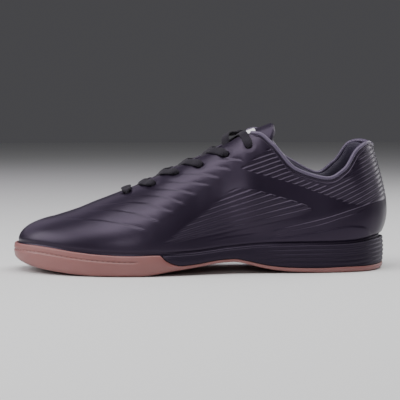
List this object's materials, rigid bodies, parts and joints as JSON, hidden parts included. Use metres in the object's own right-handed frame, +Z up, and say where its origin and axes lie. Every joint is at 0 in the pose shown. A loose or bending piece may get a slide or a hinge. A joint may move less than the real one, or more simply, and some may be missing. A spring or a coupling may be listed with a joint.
{
  "type": "indoor soccer shoe",
  "caption": "Low-cut lace-up indoor soccer shoe with a ribbed black synthetic upper, a flat gum rubber outsole that cups the forefoot, and a black midsole at arch and heel.",
  "frame": {"origin": "middle of the bounding box, on the floor that the sole stands on", "axes": "+X from toe to heel, +Y from the lateral to the medial side, +Z up from the floor"},
  "size_m": [0.2972, 0.1014, 0.1163],
  "materials": {
    "gum_rubber": "satin",
    "black_rubber": "matte",
    "black_synthetic": "satin",
    "black_lining": "matte",
    "black_lace": "matte",
    "white_label": "matte"
  },
  "bodies": {
    "root": {"outsole": "gum_rubber", "midsole": "black_rubber", "upper": "black_synthetic", "insole": "black_lining", "tongue": "black_synthetic", "tongue_label": "white_label", "collar_lining": "black_lining", "topline_binding": "black_lining", "lace_bar_1": "black_lace", "lace_cross_2": "black_lace", "lace_cross_3": "black_lace", "lace_cross_4": "black_lace", "lace_cross_5": "black_lace", "lace_cross_6": "black_lace"}
  },
  "joints": []
}
